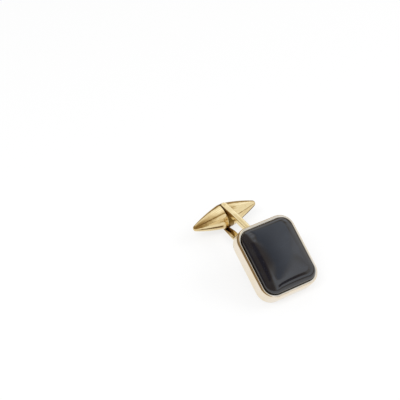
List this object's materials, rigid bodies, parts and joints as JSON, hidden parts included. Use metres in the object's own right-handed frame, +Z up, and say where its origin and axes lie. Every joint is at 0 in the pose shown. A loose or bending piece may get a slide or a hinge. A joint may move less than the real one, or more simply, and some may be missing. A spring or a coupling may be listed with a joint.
{
  "type": "cufflink",
  "caption": "Cufflink with a domed cushion-shaped black stone in a gold bezel, a fork that folds on a hinge behind the face, and a torpedo toggle that swivels in the fork.",
  "frame": {"origin": "on the table under the middle of the whole cufflink, which lies with its fork flat and its face leaning back on the bezel's lower edge", "axes": "+X along the face's short side, +Y from the face along the folded fork to the toggle, +Z up from the table"},
  "size_m": [0.016, 0.0298, 0.0122],
  "materials": {
    "gold": "polished",
    "pin_gold": "satin",
    "onyx": "polished",
    "cement": "matte"
  },
  "bodies": {
    "face": {"onyx_stone": "onyx", "stone_cement": "cement", "bearer_ledge": "gold", "bezel": "gold", "back_plate": "gold", "hinge_lug_left": "gold", "hinge_lug_right": "gold", "hinge_pin": "pin_gold"},
    "fork": {"fork_foot": "gold", "fork_leg_upper": "gold", "fork_leg_lower": "gold", "toggle_pin": "pin_gold"},
    "toggle": {"toggle_hub": "gold", "toggle_cap_left": "gold", "toggle_cap_right": "gold", "toggle_cone_left": "gold", "toggle_cone_right": "gold"}
  },
  "joints": [
    {"name": "fork_hinge", "type": "hinge", "parent": "face", "child": "fork", "pos_m": [0, -0.00594, 0.00338], "axis": [-1, 0, 0], "range_deg": [0, 111.8]},
    {"name": "toggle_swivel", "type": "hinge", "parent": "fork", "child": "toggle", "pos_m": [0, 0.01216, 0.00338], "axis": [0, 0, 1], "continuous": true}
  ]
}
